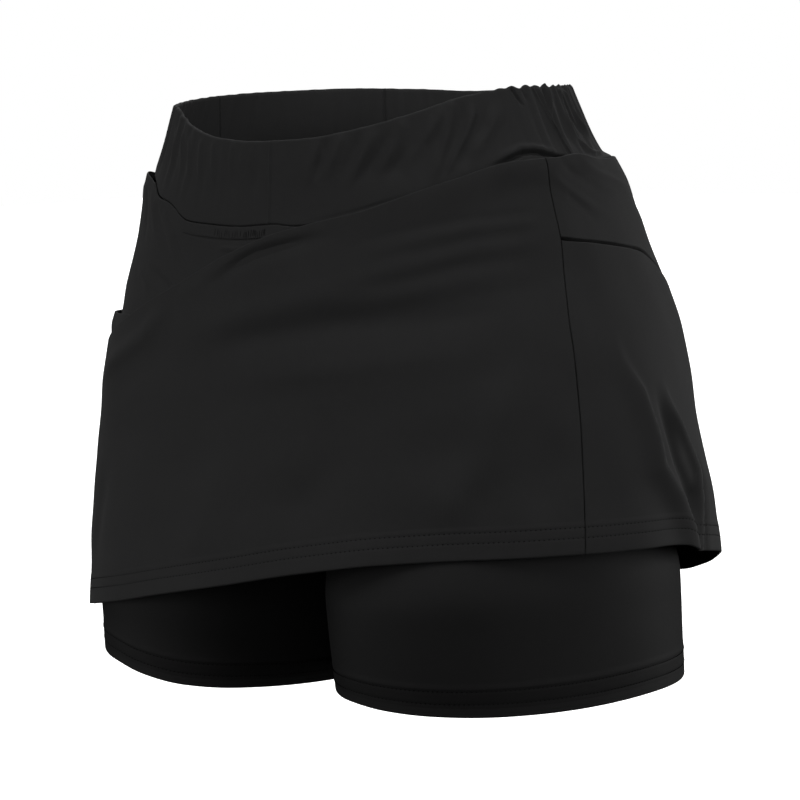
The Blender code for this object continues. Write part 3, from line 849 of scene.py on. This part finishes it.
def scallops(angle):
    """Ups and downs of the elastic's top edge, which is smooth at the front."""
    wave = np.sin(np.radians(angle * 71.0 + 20.0)) + 0.7 * np.sin(np.radians(angle * 43.0 + 50.0))
    side = fade(np.abs(turned(angle - 2.0)), 18.0, 34.0)
    return 0.00045 * wave * np.maximum(side, 0.10)


def band_point(angle, share, past):
    """Point of the waistband: share down from its top edge, and how far past that edge."""
    top = level("top", angle) - CASING_RADIUS
    bottom = seam_height(angle) + SEAM_GAP / 2
    height = mix(top, bottom, share)
    height, lift = turn_in(height, past, CASING_RADIUS, 1.0)
    down = np.clip((top - height) / (top - bottom), 0.0, 1.0)
    relief = crease_lift(BAND_CREASES, angle, height) + gathers(angle, down) + 0.5 * gentle(angle, height)
    relief = relief - 0.0030 * fade(np.abs(turned(angle - 26.0)), 20.0, 48.0)
    inner = 1.0 - 0.55 * ease(-lift / (2.0 * CASING_RADIUS))
    seam_dip = shoulder(height - bottom, 0.0011)
    lift = lift + relief * inner * fade(down, 0.86, 1.0) - seam_dip
    return angle, height + scallops(angle) * fade(down, 0.0, 0.5), lift


def make_waistband():
    gap = math.degrees(SEAM_GAP / 6 / BAND_RADIUS)
    for band in BANDS:
        width = math.radians(band.end - band.start) * BAND_RADIUS

        def place(u, v, band=band, width=width):
            share = np.clip(np.abs(v) / np.where(v < 0.0, BAND_OUTSIDE, 1.0), 0.0, 1.0)
            start = band.start + gap + band.start_lean * (1.0 - share)
            end = band.end - gap + band.end_lean * (1.0 - share)
            angle, height, lift = band_point(mix(start, end, u), np.clip(v, 0.0, 1.0), np.maximum(-v, 0.0))
            edge = np.minimum(u, 1.0 - u) * width
            # the seam shows as a faint ridge outside and as a groove inside
            lift = lift + fade(edge, 0.0002, 0.0013) * np.where(v < -0.003, 0.0008, 0.0006)
            points = lifted(angle, height, lift)
            return points, np.stack((np.radians(angle) * BAND_MAP_RADIUS, height - 0.002 * (v < 0)), axis=-1)

        across = spread(0.0, width, band.spacing, (0.0, width)) / width
        rim = -np.linspace(0.0004, 0.0049, 10)
        inner = -spread(0.0053, BAND_INSIDE, 0.0022)
        outer = spread(0.0, BAND_OUTSIDE, band.spacing, (BAND_OUTSIDE,)) / BAND_OUTSIDE
        down = np.concatenate((inner[::-1], rim[::-1], outer))
        piece = cloth_piece(band.name + "_knit", across, down, place, KNIT_WALL, BAND_KNIT)
        dress(piece, band.name)


# ---------------------------------------------------------------- skirt

SKIRT_RADIUS = 0.16
SKIRT_MAP_RADIUS = 0.17
MIDDLE_DROP = 0.15
SEAM_INSET = math.degrees(SEAM_GAP / 2 / SKIRT_RADIUS)
SEAM_SHOULDER = 0.0009
TOP_SHOULDER = 0.0010
HEM_ROWS = (0.0101, 0.0162)
HEM_ALLOWANCE = 0.0195
HEM_ZONE = 0.026
PLAIN_ZONE = 0.003
TURNED_UP = HEM_ALLOWANCE + math.pi * FOLD_RADIUS
# spacing of the rows in the hem's zone, in a plain zone and in cloth that is turned to the inside
HEM_SPACING = 0.0018
PLAIN_SPACING = 0.0015
INNER_SPACING = 0.003
AFTER_FOLD = 0.001


def hem_relief(above, rows, allowance):
    """A turned-up hem stands out a little, and its two rows of stitching draw it in."""
    relief = 0.00022 * fade(above, allowance - 0.002, allowance + 0.001)
    for row in rows:
        relief = relief - 0.00014 * np.exp(-(((above - row) / 0.0007) ** 2))
    return relief


def panel_surface(panel, angle, height):
    out = panel.lift(angle, height) + panel.relief(angle, height)
    if panel.options.get("hemmed"):
        out = out + hem_relief(height - panel.bottom(angle), HEM_ROWS, HEM_ALLOWANCE)
    return out


def between_seams(panel, share, inset, height_at):
    """Angle and height of places a share of the way across a panel, whose seams depend on the drop."""
    angle = mix(panel.left(MIDDLE_DROP), panel.right(MIDDLE_DROP), share)
    for _ in range(4):
        height = height_at(angle)
        drop = level("top", angle) - height
        angle = mix(panel.left(drop) + inset, panel.right(drop) - inset, share)
    return angle, height


def make_panel(panel, facing=0.0, hemmed=False, sewn_top=False, sewn_left=True, row_spacing=None):
    """A skirt panel between two long seams, given by drop, and two edges, given by angle."""
    zone = HEM_ZONE if hemmed else PLAIN_ZONE
    top_fold = FOLD_RADIUS if facing else 0.0
    bottom_fold = FOLD_RADIUS if hemmed else 0.0

    def place(u, v):
        past_top = np.maximum(-v, 0.0)
        past_zone = np.maximum(v - 1.0, 0.0)
        straight = np.minimum(past_zone, zone - bottom_fold)

        def height_at(angle):
            low = panel.bottom(angle) + zone
            return mix(panel.top(angle) - top_fold, low, np.clip(v, 0.0, 1.0)) - straight

        angle, height = between_seams(panel, u, SEAM_INSET, height_at)
        height, fold_in = turn_in(height, past_top, FOLD_RADIUS, 1.0)
        if hemmed:
            height, fold_up = turn_in(height, past_zone - straight, FOLD_RADIUS, -1.0)
            fold_in = fold_in + fold_up
        out = panel_surface(panel, angle, height) + fold_in
        if sewn_left:
            out = out - shoulder(u * panel.width, SEAM_SHOULDER)
        out = out - shoulder((1.0 - u) * panel.width, SEAM_SHOULDER)
        if sewn_top:
            out = out - shoulder(panel.top(angle) - height, TOP_SHOULDER)
        points = lifted(angle, height, out)
        return points, np.stack((np.radians(angle) * SKIRT_MAP_RADIUS, height + 2.0 * fold_in), axis=-1)

    across = spread(0.0, panel.width, panel.spacing, (0.0, panel.width)) / panel.width
    straight_length = panel.length - zone
    body = spread(0.0, straight_length, row_spacing or panel.spacing * 0.9, (0.0,)) / straight_length
    rows = [body[:-1]]
    if facing:
        strip = spread(FOLD_ROWS[-1] + AFTER_FOLD, facing, INNER_SPACING)
        rows.insert(0, -np.concatenate((FOLD_ROWS, strip))[::-1])
    if hemmed:
        fine = [zone - row for row in (*HEM_ROWS, HEM_ALLOWANCE)]
        straight = spread(0.0, zone - FOLD_RADIUS, HEM_SPACING, fine)
        bend = straight[-1] + FOLD_ROWS
        strip = spread(bend[-1] + AFTER_FOLD, straight[-1] + TURNED_UP, INNER_SPACING)
        rows.append(1.0 + np.concatenate((straight, bend, strip)))
    else:
        rows.append(1.0 + spread(0.0, zone, PLAIN_SPACING))
    return cloth_piece(panel.node + "_knit", across, np.concatenate(rows), place, KNIT_WALL, OUTER_KNIT)


# Left and right give a long seam's angle at a drop, and top and bottom an edge's height at an angle.
# Spacing, width and length, in metres, set the places of the mesh's columns and rows.
Panel = namedtuple(
    "Panel","node left right top bottom lift relief spacing width length options cut rests_on"
)
PANELS = (
    Panel(
        "skirt_front_underlay", fixed(-165.0), fixed(-70.0), under_band, underlay_bottom,
        right_yoke_lift, skirt_relief, 0.0020, 0.235, 0.095,
        {"sewn_top": True, "row_spacing": 0.0011},
        Cut(0.255, 0.130, 0.0185, "hung"), ("waistband_front_right_knit",),
    ),
    Panel(
        "side_yoke_left", left_front_seam, left_back_seam, left_yoke_top, left_yoke_bottom,
        left_yoke_lift, skirt_relief, 0.0017, 0.205, 0.100,
        {"facing": 0.006, "row_spacing": 0.0006},
        Cut(0.215, 0.135, 0.0196, "hung"), ("waistband_front_left_knit",),
    ),
    Panel(
        "side_yoke_right", right_back_seam, fixed(195.0), under_band, right_yoke_bottom,
        right_yoke_lift, skirt_relief, 0.0024, 0.190, 0.125,
        {"sewn_top": True},
        Cut(0.205, 0.165, 0.0250, "hung"), ("waistband_back_right_knit",),
    ),
    Panel(
        "side_pocket_left", left_front_seam, left_back_seam, left_mouth, hem,
        left_mouth_lift, skirt_relief, 0.0023, 0.215, 0.180,
        {"facing": 0.013, "hemmed": True},
        Cut(0.240, 0.235, 0.0440, "hung"), ("side_yoke_left_knit",),
    ),
    Panel(
        "side_pocket_right", right_back_seam, right_pocket_front, right_mouth, hem,
        hip_bump, skirt_relief, 0.0026, 0.300, 0.190,
        {"facing": 0.013, "hemmed": True},
        Cut(0.330, 0.235, 0.0620, "hung"), ("side_yoke_right_knit",),
    ),
    Panel(
        "skirt_back", left_back_seam, right_back_seam, under_band, hem,
        no_lift, skirt_relief, 0.0032, 0.290, 0.270,
        {"hemmed": True, "sewn_top": True},
        Cut(0.375, 0.310, 0.0890, "hung"), ("waistband_back_centre_knit",),
    ),
    Panel(
        "skirt_front_wrap", fixed(-161.0), left_front_seam, wrap_edge, hem,
        wrap_lift, wrap_relief, 0.0023, 0.400, 0.215,
        {"facing": 0.014, "hemmed": True, "sewn_left": False},
        Cut(0.440, 0.285, 0.1050, "hung"), ("waistband_front_left_knit", "side_pocket_right_knit"),
    ),
)


def make_skirt():
    for panel in PANELS:
        piece = make_panel(panel, **panel.options)
        dress(piece, panel.node)


# ---------------------------------------------------------------- inner shorts

SHORTS_INSET = (
    Section(0.046, 0.0017, 0.0017, 0.0017),
    Section(0.065, 0.006, 0.005, 0.012),
    Section(0.105, 0.010, 0.007, 0.020),
    Section(0.155, 0.014, 0.010, 0.026),
    Section(0.240, 0.018, 0.016, 0.036),
)
CROTCH_HEIGHT = -0.236
HIP_HEIGHT = -0.200
LegRing = namedtuple("LegRing", "share centre_x centre_y half_width left_depth right_depth")
LEG_RINGS = (
    LegRing(0.00, 0.0910, -0.0060, 0.0910, 0.1000, 0.1000),
    LegRing(0.25, 0.0940, -0.0070, 0.0935, 0.1080, 0.1060),
    LegRing(0.38, 0.0965, -0.0075, 0.0960, 0.1160, 0.1125),
    LegRing(0.50, 0.0985, -0.0078, 0.0975, 0.1250, 0.1180),
    LegRing(0.60, 0.1000, -0.0075, 0.0980, 0.1295, 0.1215),
    LegRing(0.75, 0.1000, -0.0060, 0.0980, 0.1290, 0.1255),
    LegRing(1.00, 0.1000, -0.0035, 0.0980, 0.1265, 0.1265),
)
LegHem = namedtuple("LegHem", "turn left right")
LEG_HEMS = (
    LegHem(-1.00, -0.3652, -0.3730),
    LegHem(-0.85, -0.3652, -0.3736),
    LegHem(-0.70, -0.3662, -0.3726),
    LegHem(-0.60, -0.3660, -0.3703),
    LegHem(-0.50, -0.3672, -0.3652),
    LegHem(-0.40, -0.3687, -0.3596),
    LegHem(-0.28, -0.3699, -0.3576),
    LegHem(-0.14, -0.3705, -0.3576),
    LegHem(0.00, -0.3708, -0.3578),
    LegHem(0.22, -0.3735, -0.3588),
    LegHem(0.55, -0.3730, -0.3640),
    LegHem(0.80, -0.3690, -0.3690),
    LegHem(1.00, -0.3652, -0.3730),
)
BODY_SHARE = 0.62
CLOSING_START = 0.35
LEG_LENGTH = 0.133
SHARE_PER_METRE = (1.0 - BODY_SHARE) / LEG_LENGTH
SHORTS_ROWS = (0.0068, 0.0130)
SHORTS_ALLOWANCE = 0.0165
SHORTS_STEP = 0.0160
SHORTS_ZONE = 0.024
# the cloth's map, in metres: half way round each half, and from the band to the hem
MAP_HALF_ROUND = 0.34
MAP_LENGTH = 0.33
SHORTS_COLUMNS = 169
BODY_ROWS = 58
ZONE_ROWS = 12
CLOSE_ROWS = np.array((-0.0012, -0.0007, -0.0003, 0.0, 0.0003, 0.0007, 0.0012))
TURNED_ROWS = np.linspace(0.001, 0.0185, 7)


def shorts_base(side, turn, v):
    """Point of one half of the shorts, as the form's row v from the band down to the leg's hem."""
    angle = 90.0 * turn if side > 0 else 180.0 - 90.0 * turn
    body_share = np.clip(v / BODY_SHARE, 0.0, 1.0)
    leg_share = np.maximum((v - BODY_SHARE) / (1.0 - BODY_SHARE), 0.0)
    start = level("seam", angle) - 0.0006
    height = mix(start, mix(HIP_HEIGHT, CROTCH_HEIGHT, turn * turn), body_share**1.3)
    drop = level("top", angle) - height
    front, back = smooth(SHORTS_INSET, "front", drop), smooth(SHORTS_INSET, "back", drop)
    inset = mix(front, back, ease(0.5 + np.sin(np.radians(angle))))
    inset = mix(inset, smooth(SHORTS_INSET, "half_width", drop), np.abs(np.cos(np.radians(angle))))
    body = lifted(angle, height, -inset)
    body[..., 0] *= side
    across = smooth(LEG_RINGS, "half_width", leg_share) * np.cos(math.pi * turn)
    along = smooth(LEG_RINGS, "left_depth" if side > 0 else "right_depth", leg_share) * np.sin(math.pi * turn)
    low = smooth(LEG_HEMS, "left" if side > 0 else "right", turn)
    leg = np.stack(
        (
            smooth(LEG_RINGS, "centre_x", leg_share) + across,
            smooth(LEG_RINGS, "centre_y", leg_share) + along,
            mix(height, low, leg_share),
        ),
        axis=-1,
    )
    closed = ease((body_share - CLOSING_START) / (1.0 - CLOSING_START))[..., None]
    point = mix(body, leg, closed)
    # the two halves are sewn edge to edge, so no light comes through
    point[..., 0] = side * np.maximum(point[..., 0], 0.0)
    return point


def shorts_surface(side, turn, v, lift):
    around = shorts_base(side, turn + 0.004, v) - shorts_base(side, turn - 0.004, v)
    along = shorts_base(side, turn, v - 0.003) - shorts_base(side, turn, v + 0.003)
    return shorts_base(side, turn, v) + unit(np.cross(around, along)) * side * np.asarray(lift)[..., None]


def make_shorts(name, side):
    """One half of the shorts, whose rows are shares of the way from the band to the hem."""
    zone_start = 1.0 - SHORTS_ZONE * SHARE_PER_METRE
    fold_start = 1.0 - FOLD_RADIUS * SHARE_PER_METRE

    def place(u, v):
        turn = side * (2.0 * u - 1.0)
        straight = np.clip(v, 0.0, fold_start)
        past = np.maximum(v - straight, 0.0) / SHARE_PER_METRE
        down, fold_in = turn_in(-straight / SHARE_PER_METRE, past, FOLD_RADIUS, -1.0)
        share = -down * SHARE_PER_METRE
        relief = hem_relief((1.0 - share) / SHARE_PER_METRE, SHORTS_ROWS, SHORTS_ALLOWANCE)
        from_seam = ease((1.0 - np.abs(turn)) / 0.04)
        uneven = 0.4 * gentle(90.0 * turn * side, share * MAP_LENGTH) * from_seam
        relief = relief * ease(share * 4.0) + uneven
        points = shorts_surface(side, turn, share, (relief + fold_in) * ease(share * 6.0))
        return points, np.stack((turn * MAP_HALF_ROUND, -share * MAP_LENGTH + 2.0 * fold_in), axis=-1)

    across = np.linspace(0.0, 1.0, SHORTS_COLUMNS)
    body = np.linspace(0.0, zone_start, BODY_ROWS)
    even = np.linspace(zone_start, fold_start, ZONE_ROWS)
    fine = [1.0 - (row - CLOSE_ROWS) * SHARE_PER_METRE for row in (*SHORTS_ROWS, SHORTS_STEP)]
    lower = np.unique(np.round(np.concatenate([even] + fine), 6))
    lower = lower[(lower >= zone_start) & (lower <= fold_start)]
    bend = lower[-1] + FOLD_ROWS * SHARE_PER_METRE
    strip = bend[-1] + TURNED_ROWS * SHARE_PER_METRE
    down = np.concatenate((body[:-1], lower, bend, strip))
    piece= cloth_piece(name + "_knit", across, down, place, KNIT_WALL, SHORTS_KNIT, weld=True)
    dress(piece, name)


# ---------------------------------------------------------------- sewing


Stitch = namedtuple("Stitch", "length thickness pitch thread slot")
HEM_STITCH = Stitch(0.0012, 0.00062, 0.0030, OUTER_THREAD, "outer_knit")
LEG_STITCH = Stitch(0.0014, 0.00075, 0.0029, SHORTS_THREAD, "shorts_knit")
COVER_STITCH = Stitch(0.0017, 0.00038, 0.0022, OUTER_THREAD, "outer_knit")
LOOP_STITCH = Stitch(0.0050, 0.00028, 0.0054, OUTER_THREAD, "outer_knit")
COVER_ROW_DROP = 0.0078
LoopRow = namedtuple("LoopRow", "name start end thickness")
LOOP_ROWS = (
    LoopRow("open", -101.0, -92.0, 0.00028),
    LoopRow("close", -91.4, -86.0, 0.00040),
)
LOOPS_IN_ROW = 12
STITCH_INSET = 0.2


def spaced(points, pitch):
    """Places one pitch apart along a line of close points, as shares between them."""
    run = np.concatenate(([0.0], np.cumsum(np.linalg.norm(np.diff(points, axis=0), axis=1))))
    return np.interp(np.arange(pitch / 2, run[-1], pitch), run, np.arange(len(points)))


def sew(name, lines, stitch):
    """Beads of thread along lines of close points. Each line has its points and outward normals."""
    size = Matrix.Diagonal((stitch.length / 2, stitch.thickness / 2, stitch.thickness / 2, 1.0))
    beads = bmesh.new()
    for points, normals in lines:
        line = bmesh.new()
        for place in spaced(points, stitch.pitch):
            i = min(int(place), len(points) - 2)
            t = place - i
            along = Vector(points[i + 1] - points[i]).normalized()
            out = Vector(mix(normals[i], normals[i + 1], t)).normalized()
            beside = out.cross(along).normalized()
            turn = Matrix((along, beside, out)).transposed().to_4x4()
            turn.translation = Vector(mix(points[i], points[i + 1], t))
            bmesh.ops.create_uvsphere(line, u_segments=6, v_segments=4, radius=1.0, matrix=turn @ size)
        mesh = bpy.data.meshes.new("line")
        line.to_mesh(mesh)
        line.free()
        beads.from_mesh(mesh)
        bpy.data.meshes.remove(mesh)
    mesh = bpy.data.meshes.new(name)
    beads.to_mesh(mesh)
    beads.free()
    mesh.materials.append(stitch.thread)
    mesh.shade_smooth()
    piece = new_object(name, mesh)
    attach(piece, "root")


def line_on_form(angle, height, out):
    """Points of a line of sewing, and the cloth's outward normals there."""
    points = lifted(angle, height, out)
    return points, unit(lifted(angle, height, out + 0.001) - points)


def hem_line(panel, above):
    """A row of stitches over a panel's hem."""
    share = np.linspace(0.0, 1.0, 500)
    angle, height = between_seams(panel, share, STITCH_INSET, lambda at: panel.bottom(at) + above)
    return line_on_form(angle, height, panel_surface(panel, angle, height))


def leg_line(side, above):
    """A row of stitches over a leg's hem."""
    turn = np.linspace(-1.0, 1.0, 600)
    share = 1.0 - above * SHARE_PER_METRE + 0.0 * turn
    points = shorts_surface(side, turn, share, 0.0001 + 0.0 * turn)
    return points, unit(shorts_surface(side, turn, share, 0.001 + 0.0 * turn) - points)


def underlay_line(path, lift):
    """A line of sewing on the underlay, through places of angle and height."""
    shares = np.linspace(0, 1, len(path))
    angle, height = (np.interp(np.linspace(0, 1, 160), shares, column) for column in zip(*path))
    out = right_yoke_lift(angle, height) + skirt_relief(angle, height) + lift
    return line_on_form(angle, height, out)


def under_seam(angle, drop):
    return angle, float(seam_height(np.array(angle))) - drop


def cover_loop(angle):
    """One loop of the cover stitch: it leans, starts unevenly below the seam and ends at the lower row."""
    start = under_seam(angle, 0.0022 + 0.0006 * math.sin(angle * 1.7))
    leaning = (start[0] + 0.35 * math.sin(angle * 2.3), start[1])
    return underlay_line((leaning, under_seam(angle, 0.0074)), 0.0)


def make_stitches():
    for panel in PANELS:
        if panel.options.get("hemmed"):
            lines = [hem_line(panel, row) for row in HEM_ROWS]
            sew(panel.node + "_hem_stitches", lines, HEM_STITCH)
    for name, side in (("left", 1), ("right", -1)):
        lines = [leg_line(side, row) for row in SHORTS_ROWS]
        sew(f"shorts_{name}_hem_stitches", lines, LEG_STITCH)
    # cover stitch that holds the underlay's seam down below the band
    lower = [under_seam(angle, COVER_ROW_DROP) for angle in np.linspace(-113.0, -84.0, 12)]
    sew("band_seam_stitches", [underlay_line(lower, 0.0001)], COVER_STITCH)
    for row in LOOP_ROWS:
        loops = [cover_loop(angle) for angle in np.linspace(row.start, row.end, LOOPS_IN_ROW)]
        sew(f"band_seam_loops_{row.name}", loops, LOOP_STITCH._replace(thickness=row.thickness))


# ---------------------------------------------------------------- stage


Sun = namedtuple("Sun", "name towards energy")
SUNS = (
    Sun("overhead", (0.15, -0.45, 1.0), 1.6),
    Sun("front", (-0.18, -0.97, 0.0), 1.2),
    Sun("right", (1.0, 0.17, 0.1), 1.65),
    Sun("back", (-0.3, 0.8, 1.0), 0.7),
)
SUN_SPREAD = 45.0
Softbox = namedtuple("Softbox", "name place target size power")
SOFTBOXES = (
    Softbox("side_left", (-1.9, -1.3, -0.6), (0.0, 0.0, -0.3), 1.0, 9.0),
    Softbox("rim", (1.0, 2.0, -0.3), (0.0, 0.0, -0.2), 0.8, 9.0),
    # a soft light inside the waist shows the inner side of the band
    Softbox("waist", (0.03, -0.045, -0.085), (-0.05, 0.11, -0.02), 0.08, 0.18),
)
ROOM_LIGHT = 0.26
LIGHT_FROM_BELOW = 0.25
WHITE = (1.0, 1.0, 1.0, 1.0)
PALE = (0.92, 0.92, 0.92, 1.0)
FLOOR_HEIGHT = -1.0
FLOOR_SIZE = 20.0


def new_light(name, kind, energy, away):
    """A light that shines against the direction away."""
    data = bpy.data.lights.new(name, kind)
    data.energy = energy
    light = new_object(name, data)
    light.rotation_euler = away.to_track_quat("Z", "Y").to_euler()
    return light


def make_lights():
    for row in SUNS:
        light = new_light(row.name, "SUN", row.energy, Vector(row.towards))
        light.data.angle = math.radians(SUN_SPREAD)
    for row in SOFTBOXES:
        light = new_light(row.name, "AREA", row.power, Vector(row.place) - Vector(row.target))
        light.data.shape = "SQUARE"
        light.data.size = row.size
        light.location = row.place
        light.visible_camera = False


def make_room():
    """The room's light comes from above, and only the camera sees the plain backdrop."""
    world = bpy.data.worlds.new("studio")
    bpy.context.scene.world = world
    world.use_nodes = True
    field = Field(world.node_tree)
    seen = field.add("ShaderNodeLightPath")
    place = field.add("ShaderNodeTexCoord", output=0)
    up = field.maths("MAXIMUM", place.axes()[2] + LIGHT_FROM_BELOW, 0.0) * ROOM_LIGHT
    background = world.node_tree.nodes["Background"]
    field.join(background, {"Color": WHITE, "Strength": seen * (1.0 - up) + up})


def make_floor():
    pale, shader, field = new_material("pale_floor")
    looks = {"Base Color": PALE, "Roughness": 0.9, "Emission Color": WHITE, "Emission Strength": 0.8}
    field.join(shader, looks)
    ground = bmesh.new()
    bmesh.ops.create_grid(ground, x_segments=1, y_segments=1, size=FLOOR_SIZE)
    bmesh.ops.translate(ground, verts=ground.verts, vec=(0.0, 0.0, FLOOR_HEIGHT))
    mesh = bpy.data.meshes.new("floor")
    ground.to_mesh(mesh)
    ground.free()
    mesh.materials.append(pale)
    floor = new_object("floor", mesh)
    floor.visible_diffuse = False
    floor.visible_glossy = False


make_waistband()
make_skirt()
make_shorts("shorts_left", 1)
make_shorts("shorts_right", -1)
make_stitches()
make_room()
make_floor()
make_lights()
bpy.context.scene.view_settings.view_transform = "Standard"
